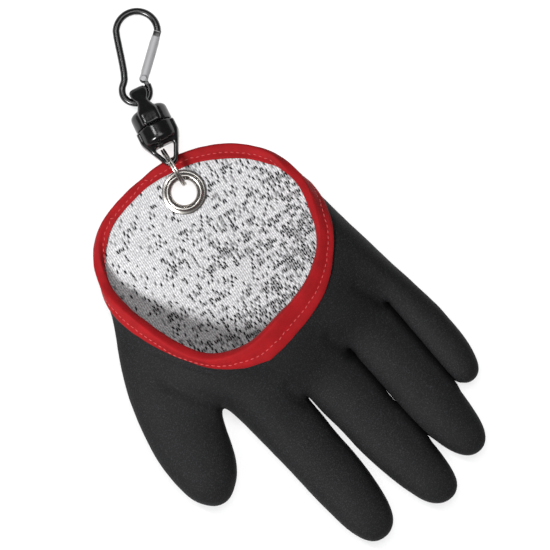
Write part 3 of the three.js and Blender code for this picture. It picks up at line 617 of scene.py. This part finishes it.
def sew(bm, places):
    """A long bead of thread for each stitch."""
    for point, along, normal in places:
        side = along.cross(normal).normalized()
        out = side.cross(along).normalized()
        turn = Matrix((along, side, out)).transposed().to_4x4()
        size = Matrix.Diagonal((STITCH_LENGTH / 2 * MM, THREAD_RADIUS * MM, THREAD_RADIUS * MM, 1))
        bmesh.ops.create_uvsphere(
            bm, u_segments=8, v_segments=5, radius=1,
            matrix=Matrix.Translation(point + out * 0.02 * MM) @ turn @ size)


def seam_lines(tape, rim):
    """The line of stitches on each face of the tape."""
    tree = BVHTree.FromPolygons([v.co for v in tape.data.vertices], [p.vertices for p in tape.data.polygons])
    return [stitch_line(tree, rim, side) for side in (1, -1)]


def pull_in(tape, lines):
    """Draws the tape in along its stitches, and puckers it all over."""
    points = [point for line in lines for point, _ in line]
    near = KDTree(len(points))
    for i, point in enumerate(points):
        near.insert(point, i)
    near.balance()
    moves = []
    for vert in tape.data.vertices:
        away = near.find(vert.co)[2] / (GROOVE_WIDTH * MM)
        groove = GROOVE_DEPTH * max(0.0, 1 - away * away)
        moves.append(vert.normal * (waves(vert.co, TAPE_PUCKER) - groove) * MM)
    for vert, move in zip(tape.data.vertices, moves):
        vert.co += move


def binding():
    """The tape, and all its stitches as one mesh."""
    rim = rim_points()
    tape = tape_mesh()
    pull_in(tape, seam_lines(tape, rim))
    seam = bmesh.new()
    for line in seam_lines(tape, rim):
        sew(seam, evenly(line, STITCH_PITCH * MM))
    return tape, from_bmesh("cuff_binding_stitches", seam)


tape, stitches = binding()
dress(smooth(tape, 50), TAPE, "glove", "tape", "cuff_binding")
dress(smooth(stitches, 80), THREAD, "glove", "tape")


# Eyelet and its washer

# Radii and the sheet's thickness, in millimetres
EYELET_BORE = 6.3
EYELET_FLANGE = 11.1
EYELET_SHEET = 0.7
BEAD_RADIUS = 0.9                        # of the raised bead between the bore and the flange
WASHER_INNER = 7.3
WASHER_OUTER = 10.0


def middle_of(node):
    low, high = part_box(node)
    return (low + high) / 2


def turned(name, node, profile):
    """A nickel piece turned round an upright line through its node's middle."""
    middle = middle_of(node)
    piece = placed(from_bmesh(name, lathe(profile)), Matrix.Translation((middle.x, middle.y, 0)))
    return dress(smooth(piece, 50), NICKEL, "glove", "polished_steel", node)


def eyelet():
    """The tube and its lower lip, then the flange with its raised bead, from the outside in."""
    low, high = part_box("eyelet")
    bottom, top = low.z / MM, high.z / MM
    seat = top - 1.5
    bore, flange, sheet = EYELET_BORE, EYELET_FLANGE, EYELET_SHEET
    bead = (bore + flange) / 2 - 0.3
    profile = [(bore, bottom + 0.35), (bore + 0.3, bottom), (bore + 2.0, bottom), (bore + 2.2, bottom + 0.35),
               (bore + 2.0, bottom + sheet), (bore + sheet, bottom + sheet)]
    profile += [(bore + sheet, seat - 0.2), (flange - 0.6, seat - 0.1), (flange - 0.1, seat + 0.05)]
    profile += [(flange, seat + 0.35), (flange - 0.3, seat + 0.62), (flange - 1.0, seat + 0.66)]
    profile += [(flange - 1.5, seat + 0.8), (flange - 2.0, seat + 1.2)]
    profile += arc((bead, seat + 0.6), BEAD_RADIUS, 40, 145, 7)
    profile += [(bore + 0.75, seat + 0.85), (bore + 0.3, seat + 0.3), (bore, seat - 0.5)]
    profile += [(bore, bottom + 0.35)]
    return turned("eyelet_flange", "eyelet", profile)


def washer():
    low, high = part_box("eyelet_washer")
    bottom, top = low.z / MM, high.z / MM
    profile = [(WASHER_INNER, bottom), (WASHER_OUTER - 0.3, bottom), (WASHER_OUTER, bottom + 0.2),
               (WASHER_OUTER, top - 0.1), (WASHER_INNER, top), (WASHER_INNER, bottom)]
    return turned("eyelet_back_washer", "eyelet_washer", profile)


eyelet()
washer()


# Split ring of two turns of wire

# In millimetres, except for the angles
RING_RADIUS = 10.2
RING_WIRE = 0.58
RING_LEAN = 7.6                          # degrees, round the vertical
RING_START = radians(200)                # where the wire's ends lie, low on the ring
TURN_SHIFT = 0.62                        # each turn's middle from the ring's
CHANGE_OVER = 4                          # a quarter turn takes the wire from one turn to the other


def split_ring():
    """Two turns of wire side by side, with a smooth change from one to the other."""
    steps = 144
    path = []
    for i in range(2 * steps + 1):
        angle = 2 * pi * i / steps + RING_START
        ease = max(0.0, min(1.0, (i / steps - 1) * CHANGE_OVER + 0.5))
        aside = TURN_SHIFT * (2 * (3 * ease ** 2 - 2 * ease ** 3) - 1)
        path.append((aside, RING_RADIUS * cos(angle), RING_RADIUS * sin(angle)))
    ring = bar(path, RING_WIRE, "split_ring_coil")
    place = Matrix.Translation(middle_of("split_ring")) @ Matrix.Rotation(radians(-RING_LEAN), 4, "Z")
    return dress(smooth(placed(ring, place), 60), NICKEL, "glove", "polished_steel", "split_ring")


split_ring()


# Magnetic release. Each half has its own frame: its open face at Y = 0 and its bail's tip at TIP

# In millimetres, except for the shares
CUP_RADIUS = 9.6
CUP_LENGTH = 8.6
CUP_LIP = 0.6                            # rounding at the open face
CUP_SHOULDER = 2.6                       # rounding at the closed end
POCKET_DEPTH = 4.6
POCKET_GAP = 0.3                         # round the magnet
MAGNET_RADIUS = 7.0
MAGNET_SUNK = 0.3
MAGNET_THICKNESS = 4.0
MAGNET_EDGE = 0.4
TIP = 21.8
TIP_RADIUS = 4.4
BAIL_WIDTH = 5.8
BAIL_EDGE = 1.2
ARM_WIDTH = 10.2
WINDOW_CORNER = 1.2
WINDOW_TOP = 2.5                         # radius of the window's round end
HEAD_BELOW_TIP = 3.2                     # the widest part of the bail's head
HEAD_LENGTH = 4.6                        # and how far it reaches to each side of that
UPPER_HEAD = 0.6                         # the upper bail's head is this share wider than its neck
BAIL_FOOT = 0.7                          # and both bails' feet, beside the cup, are this share wider
FOOT_TOP = 5                             # how far past the cup's end a foot starts to widen
FOOT_LENGTH = 7                          # and how long it takes
STRAP_VOXEL = 0.35
HALF_VOXEL = 0.3
SEAM = 0.15                              # between either half and the release's middle


def release_matrix():
    """The release's own frame: Y from the lower magnet to the upper one, Z mostly up."""
    low, high = middle_of("magnet_lower"), middle_of("magnet_upper")
    along = (high - low).normalized()
    across = along.cross(Vector((0, 0, 1))).normalized()
    up = across.cross(along)
    turn = Matrix((across, along, up)).transposed().to_4x4()
    return Matrix.Translation((low + high) / 2) @ turn


def cup(name):
    """The round body of one half, its open face at 0 and its closed end at the bail."""
    pocket = MAGNET_RADIUS + POCKET_GAP
    profile = [(0, POCKET_DEPTH), (pocket, POCKET_DEPTH), (pocket, 0.25), (pocket + 0.2, 0)]
    profile += arc((CUP_RADIUS - CUP_LIP, CUP_LIP), CUP_LIP, -90, 0, 3)
    profile += [(CUP_RADIUS, CUP_LENGTH - CUP_SHOULDER)]
    profile += arc((CUP_RADIUS - CUP_SHOULDER, CUP_LENGTH - 2), CUP_SHOULDER, 15, 90, 5)
    profile += [(0, CUP_LENGTH + 0.75)]
    return from_bmesh(name, lathe_along_y(profile, 72))


def moulded(piece, voxel, passes):
    """Melts overlapping pieces into one skin, with fillets where they meet."""
    melt = piece.modifiers.new("melt", "REMESH")
    melt.mode = "VOXEL"
    melt.voxel_size = voxel * MM
    fillet = piece.modifiers.new("fillet", "SMOOTH")
    fillet.factor = 0.5
    fillet.iterations = passes
    return applied(piece)


def bail_outline():
    """The strap's outline round the cup, notched for the magnet and drawn in to its round tip."""
    shoulder = CUP_LENGTH - 1.2
    seat, wall = POCKET_DEPTH + 0.2, MAGNET_RADIUS + 0.7
    rim = [(-ARM_WIDTH, 0.3), (-wall, 0.3), (-wall, seat), (wall, seat), (wall, 0.3), (ARM_WIDTH, 0.3)]
    rim += [(ARM_WIDTH, shoulder - 1.5), (ARM_WIDTH - 0.6, shoulder + 0.3)]
    rim += arc((0, TIP - TIP_RADIUS), TIP_RADIUS, 28, 152, 14)
    return rim + [(-ARM_WIDTH + 0.6, shoulder + 0.3), (-ARM_WIDTH, shoulder - 1.5)]


def window_outline():
    low = CUP_LENGTH + 2.1 + WINDOW_CORNER
    rim = arc((3.6, low), WINDOW_CORNER, -90, 20, 4)
    rim += arc((0, TIP - 5.4), WINDOW_TOP, 20, 160, 10)
    return rim + arc((-3.6, low), WINDOW_CORNER, 160, 270, 4)


def bail(name, head):
    """The strap over the cup's two sides, wider beside the cup and, by the given share, at its head."""
    strap = moulded(plate([bail_outline(), window_outline()], BAIL_WIDTH, BAIL_EDGE, name + "_strap"),
                    STRAP_VOXEL, 2)
    for vert in strap.data.vertices:
        up = vert.co.y / MM
        near_head = max(0.0, 1 - ((up - TIP + HEAD_BELOW_TIP) / HEAD_LENGTH) ** 2)
        near_cup = max(0.0, min(1.0, (CUP_LENGTH + FOOT_TOP - up) / FOOT_LENGTH))
        vert.co.z *= 1 + head * near_head + BAIL_FOOT * near_cup ** 2 * (3 - 2 * near_cup)
    return strap


def release_half(name, matrix, head, body, node):
    parts = [cup(name + "_cup"), bail(name, head)]
    half = moulded(joined(name, parts), HALF_VOXEL, 12)
    return dress(smooth(placed(half, matrix), 180), PLASTIC, body, "black_plastic", node)


def magnet(name, matrix, body, node):
    low, high = MAGNET_SUNK, MAGNET_SUNK + MAGNET_THICKNESS
    profile = [(0, low), (MAGNET_RADIUS - MAGNET_EDGE, low), (MAGNET_RADIUS - 0.1, low + 0.12),
               (MAGNET_RADIUS, low + MAGNET_EDGE), (MAGNET_RADIUS, high - MAGNET_EDGE),
               (MAGNET_RADIUS - 0.1, high - 0.12), (MAGNET_RADIUS - MAGNET_EDGE, high), (0, high)]
    disc = from_bmesh(name, lathe_along_y(profile, 64))
    return dress(smooth(placed(disc, matrix), 40), MAGNET, body, "magnet", node)


release = release_matrix()
lower_half = release @ Matrix.Translation((0, -SEAM * MM, 0)) @ Matrix.Rotation(pi, 4, "Z")
upper_half = release @ Matrix.Translation((0, SEAM * MM, 0)) @ Matrix.Rotation(pi / 2, 4, "Y")
release_half("release_lower_half", lower_half, 0.0, "glove", "release_lower")
release_half("release_upper_half", upper_half, UPPER_HEAD, "release_top", "release_upper")
magnet("magnet_lower_disc", lower_half, "glove", "magnet_lower")
magnet("magnet_upper_disc", upper_half, "release_top", "magnet_upper")


# Carabiner. Its own frame has X across it, Y from the small bend to the bow and Z mostly up

# In millimetres, except for GATE_TURN
WIRE_RADIUS = 1.75
BOW_RADIUS = 10.35
BOW_OFFSET = 1.2                         # the bow's centre in X
BOW_MIDDLE = 31.35                       # and in Y
HINGE = Vector((4.75, 7.5, 0))           # the rivet
NOSE = Vector((BOW_OFFSET + BOW_RADIUS - 0.1, BOW_MIDDLE, 0))    # where the bow ends over the gate
SMALL_BEND = [(-4.9, 7.4), (-6, 2.6), (-5.4, -1.2), (-2.8, -3.9), (0.8, -4.8), (4.6, -4.2), (7.1, -1.8),
              (7.6, 1.4), (6.6, 4.6)]
TONGUE = 1.5                             # thickness of the flats that the gate closes over
TONGUE_WIDTH = 2.4
EYE_RADIUS = 2.2                         # of the tongue's end, round the rivet
NOSE_SIZE = (3.7, 4.6, TONGUE + 0.2)
NOSE_HIGHLIGHT_WIDTH = 0.28                         # thickness of the silver ring that paints the highlight on the nose's edge
GATE_RADIUS = 2.3
GATE_PAST_HINGE = 1.05
GATE_SHORT = 2.4                         # what the sleeve is shorter than the way to the nose
GATE_EDGE = 0.4
SLOT = TONGUE + 0.6                      # width of the two slots sawn into the sleeve
SLOT_LOW = 4.2                           # half lengths of the cutters
SLOT_HIGH = 2.3
RIVET_HALF = 3.0                         # half of its length over both heads
RIVET_HEAD = 1.45                        # radii of a head and of the pin
RIVET_PIN = 0.75
RIVET_HEAD_HEIGHT = 0.6
GATE_TURN = (NOSE - HINGE).xy.angle_signed(Vector((0, 1)))    # radians from Y


def carabiner_matrix():
    """The carabiner's own frame, from its gate's hinge."""
    hinge = next(joint for joint in frame["joints"] if joint["name"] == "gate_hinge")
    up = Vector(hinge["axis"]).normalized()
    across = Vector((cos(radians(CAMERA_TURN)), sin(radians(CAMERA_TURN)), 0))
    across = (across - up * across.dot(up)).normalized()
    turn = Matrix((across, up.cross(across), up)).transposed().to_4x4()
    return Matrix.Translation(Vector(hinge["pos_m"])) @ turn @ Matrix.Translation(-HINGE * MM)


def smooth_path(points, steps):
    """A curve through the points, with its speed shared out by their distances."""
    def between(a, b, t, ta, tb):
        return a * ((tb - t) / (tb - ta)) + b * ((t - ta) / (tb - ta))

    points = [Vector(p) for p in points]
    points = [2 * points[0] - points[1], *points, 2 * points[-1] - points[-2]]
    path = []
    for p0, p1, p2, p3 in zip(points, points[1:], points[2:], points[3:]):
        t0 = 0.0
        t1 = t0 + sqrt((p1 - p0).length)
        t2 = t1 + sqrt((p2 - p1).length)
        t3 = t2 + sqrt((p3 - p2).length)
        for i in range(steps):
            t = t1 + (t2 - t1) * i / steps
            a = between(p0, p1, t, t0, t1)
            b = between(p1, p2, t, t1, t2)
            c = between(p2, p3, t, t2, t3)
            path.append(between(between(a, b, t, t0, t2), between(b, c, t, t1, t3), t, t1, t2))
    return [*path, points[-2]]


def block(size, matrix, name, edge=0.35):
    """A small block with rounded edges."""
    bm = bmesh.new()
    bmesh.ops.create_cube(bm, size=1, matrix=matrix @ Matrix.Diagonal((*[s * MM for s in size], 1)))
    bmesh.ops.bevel(bm, geom=bm.edges, offset=edge * MM, offset_type="OFFSET", segments=3, profile=0.5,
                    affect="EDGES", material=-1)
    return from_bmesh(name, bm)


def eye_profile():
    half = TONGUE / 2
    return [(0, -half), (EYE_RADIUS - 0.3, -half), (EYE_RADIUS, 0.3 - half),
            (EYE_RADIUS, half - 0.3), (EYE_RADIUS - 0.3, half), (0, half)]


def carabiner_frame(place):
    """The bent wire, its flat tongue and eye inside the gate's foot, and the nose that the gate meets."""
    bow = [(BOW_OFFSET + BOW_RADIUS * cos(radians(a)), BOW_MIDDLE + BOW_RADIUS * sin(radians(a)), 0)
           for a in range(0, 187, 10)]
    path = smooth_path(bow + [(x, y, 0) for x, y in SMALL_BEND], 6)
    wire = bar(path, WIRE_RADIUS, "carabiner_wire")
    end = Vector((*SMALL_BEND[-1], 0))
    towards = HINGE - end
    turn = Matrix.Rotation(towards.xy.angle_signed(Vector((0, 1))), 4, "Z")
    tongue = block((TONGUE_WIDTH, towards.length + 1.2, TONGUE),
                   Matrix.Translation((HINGE + end) / 2 * MM) @ turn, "carabiner_tongue")
    eye = placed(from_bmesh("carabiner_eye", lathe(eye_profile(), 32)), Matrix.Translation(HINGE * MM))
    nose_place = Matrix.Translation((NOSE + Vector((-0.4, -1.5, 0))) * MM)
    nose = block(NOSE_SIZE, nose_place @ Matrix.Rotation(GATE_TURN, 4, "Z"), "carabiner_nose", 0.4)
    frame_piece = joined("carabiner_wire_frame", [wire, tongue, eye, nose])
    return dress(smooth(placed(frame_piece, place), 45), WIRE, "release_top", "black_wire", "carabiner_frame")


def painted_nose_highlight(place):
    """A thin silver ring round the wire just above the nose: a painted highlight for the bright line that the
    nose's edge catches.
    """
    radius, half = WIRE_RADIUS + 0.05, NOSE_HIGHLIGHT_WIDTH / 2
    profile = [(0, -half), (radius, -half), (radius, half), (0, half)]
    line = from_bmesh("carabiner_nose_line", lathe(profile, 32))
    turn = Matrix.Rotation(GATE_TURN, 4, "Z") @ Matrix.Rotation(pi / 2, 4, "X")
    placed(line, place @ Matrix.Translation(NOSE * MM) @ turn)
    # the silver finish on this ring is the painted highlight
    return dress(smooth(line, 40), GATE, "release_top", "silver_gate")


def carabiner_gate(place):
    """The gate's sleeve, slotted at its foot for the tongue and at its end for the nose."""
    start, end = -GATE_PAST_HINGE, (NOSE - HINGE).length - GATE_SHORT
    profile = [(0, start), (GATE_RADIUS - GATE_EDGE, start), (GATE_RADIUS, start + GATE_EDGE),
               (GATE_RADIUS, end - GATE_EDGE), (GATE_RADIUS - GATE_EDGE, end), (0, end)]
    sleeve = from_bmesh("carabiner_gate_sleeve", lathe_along_y(profile, 48))
    cutters = [block((12, 2 * half, SLOT), Matrix.Translation((0, middle * MM, 0)), "slot", 0.05)
               for half, middle in ((SLOT_LOW, -0.9), (SLOT_HIGH, end - 0.3))]
    for cutter in cutters:
        cutting = sleeve.modifiers.new("slot", "BOOLEAN")
        cutting.operation = "DIFFERENCE"
        cutting.solver = "EXACT"
        cutting.object = cutter
    sleeve = applied(sleeve)
    for cutter in cutters:
        bpy.data.objects.remove(cutter)
    local = Matrix.Translation(HINGE * MM) @ Matrix.Rotation(GATE_TURN, 4, "Z")
    return dress(smooth(placed(sleeve, place @ local), 40), GATE, "gate", "silver_gate", "carabiner_gate")


def gate_rivet(place):
    half, under = RIVET_HALF, RIVET_HALF - RIVET_HEAD_HEIGHT
    rim = half - 0.35
    profile = [(0, -half), (RIVET_HEAD - 0.4, -half), (RIVET_HEAD, -rim), (RIVET_HEAD, -under),
               (RIVET_PIN, -under), (RIVET_PIN, under), (RIVET_HEAD, under), (RIVET_HEAD, rim),
               (RIVET_HEAD - 0.4, half), (0, half)]
    piece = from_bmesh("gate_rivet_pin", lathe(profile, 32))
    placed(piece, place @ Matrix.Translation(HINGE * MM))
    return dress(smooth(piece, 40), GATE, "release_top", "silver_gate", "gate_rivet")


carabiner = carabiner_matrix()
carabiner_frame(carabiner)
# a silver ring, painted as the highlight on the edge above the nose
painted_nose_highlight(carabiner)
carabiner_gate(carabiner)
gate_rivet(carabiner)


# Floor, light and camera

WORLD_STRENGTH = 0.12

# Metres to the photograph's right, to its top and above its middle, each lamp's width and height,
# and its watts
LAMPS = {
    "key": {"right": -0.6, "top": -0.55, "above": 1.12, "size": (0.32, 0.32), "watts": 22},
    "strip": {"right": -0.72, "top": 0.5, "above": 1.2, "size": (0.16, 0.34), "watts": 3.2},
    "paper": {"right": 0.0, "top": 0.0, "above": 2.2, "size": (1.0, 1.0), "watts": 42},
    "top": {"right": 0.1, "top": 0.4, "above": 1.9, "size": (0.9, 0.9), "watts": 9},
}


def pale_floor():
    """Seamless studio paper, matt and almost white."""
    bm = bmesh.new()
    bmesh.ops.create_grid(bm, x_segments=1, y_segments=1, size=3)
    floor = from_bmesh("studio_floor", bm)
    floor.data.materials.append(
        finish_named("studio_paper", colour=linear("#f4f4f4"), roughness=0.9, level=0.1)[0])
    return floor


def softbox(name, right, top, above, size, watts):
    """A soft lamp over the glove, aimed at the photograph's middle."""
    light = bpy.data.lights.new(name, "AREA")
    light.shape = "RECTANGLE"
    light.size, light.size_y = size
    light.energy = watts
    lamp = bpy.data.objects.new(name, light)
    away = Matrix.Rotation(radians(CAMERA_TURN), 3, "Z") @ Vector((right, top, above))
    lamp.location = PHOTO_MIDDLE + away
    lamp.rotation_euler = (-away).to_track_quat("-Z", "Y").to_euler()
    bpy.context.scene.collection.objects.link(lamp)
    return lamp


def linked_to(name, thing, state):
    """A group for a lamp's light or shadows, which takes in or leaves out one object."""
    group = bpy.data.collections.new(name)
    group.objects.link(thing)
    group.collection_objects[0].light_linking.link_state = state
    return group


def studio(floor):
    """Key light from the lower left, a strip from the upper left and a soft fill from above. The
    paper has a light of its own, which casts no shadows of the glove, so that it comes out white."""
    lamps = {name: softbox(name, **row) for name, row in LAMPS.items()}
    lamps["key"].light_linking.receiver_collection = linked_to("key_lit", floor, "EXCLUDE")
    lamps["paper"].light_linking.receiver_collection = linked_to("paper_lit", floor, "INCLUDE")
    lamps["paper"].light_linking.blocker_collection = linked_to("paper_shadows", floor, "INCLUDE")
    world = bpy.data.worlds.new("studio_air")
    bpy.context.scene.world = world
    world.use_nodes = True
    air = world.node_tree.nodes["Background"]
    air.inputs["Color"].default_value = linear("#f2f4f6")
    air.inputs["Strength"].default_value = WORLD_STRENGTH
    bpy.context.scene.view_settings.view_transform = "Standard"


def photo_camera():
    """Straight above, turned so that the glove lies as in the photograph."""
    data = bpy.data.cameras.new("photo_camera")
    data.sensor_width = SENSOR
    data.lens = SENSOR * CAMERA_HEIGHT / PHOTO_WIDTH
    data.clip_end = 20
    camera = bpy.data.objects.new("photo_camera", data)
    camera.location = PHOTO_MIDDLE + Vector((0, 0, CAMERA_HEIGHT))
    camera.rotation_euler = (0, 0, radians(CAMERA_TURN))
    bpy.context.scene.collection.objects.link(camera)
    bpy.context.scene.camera = camera


studio(pale_floor())
photo_camera()
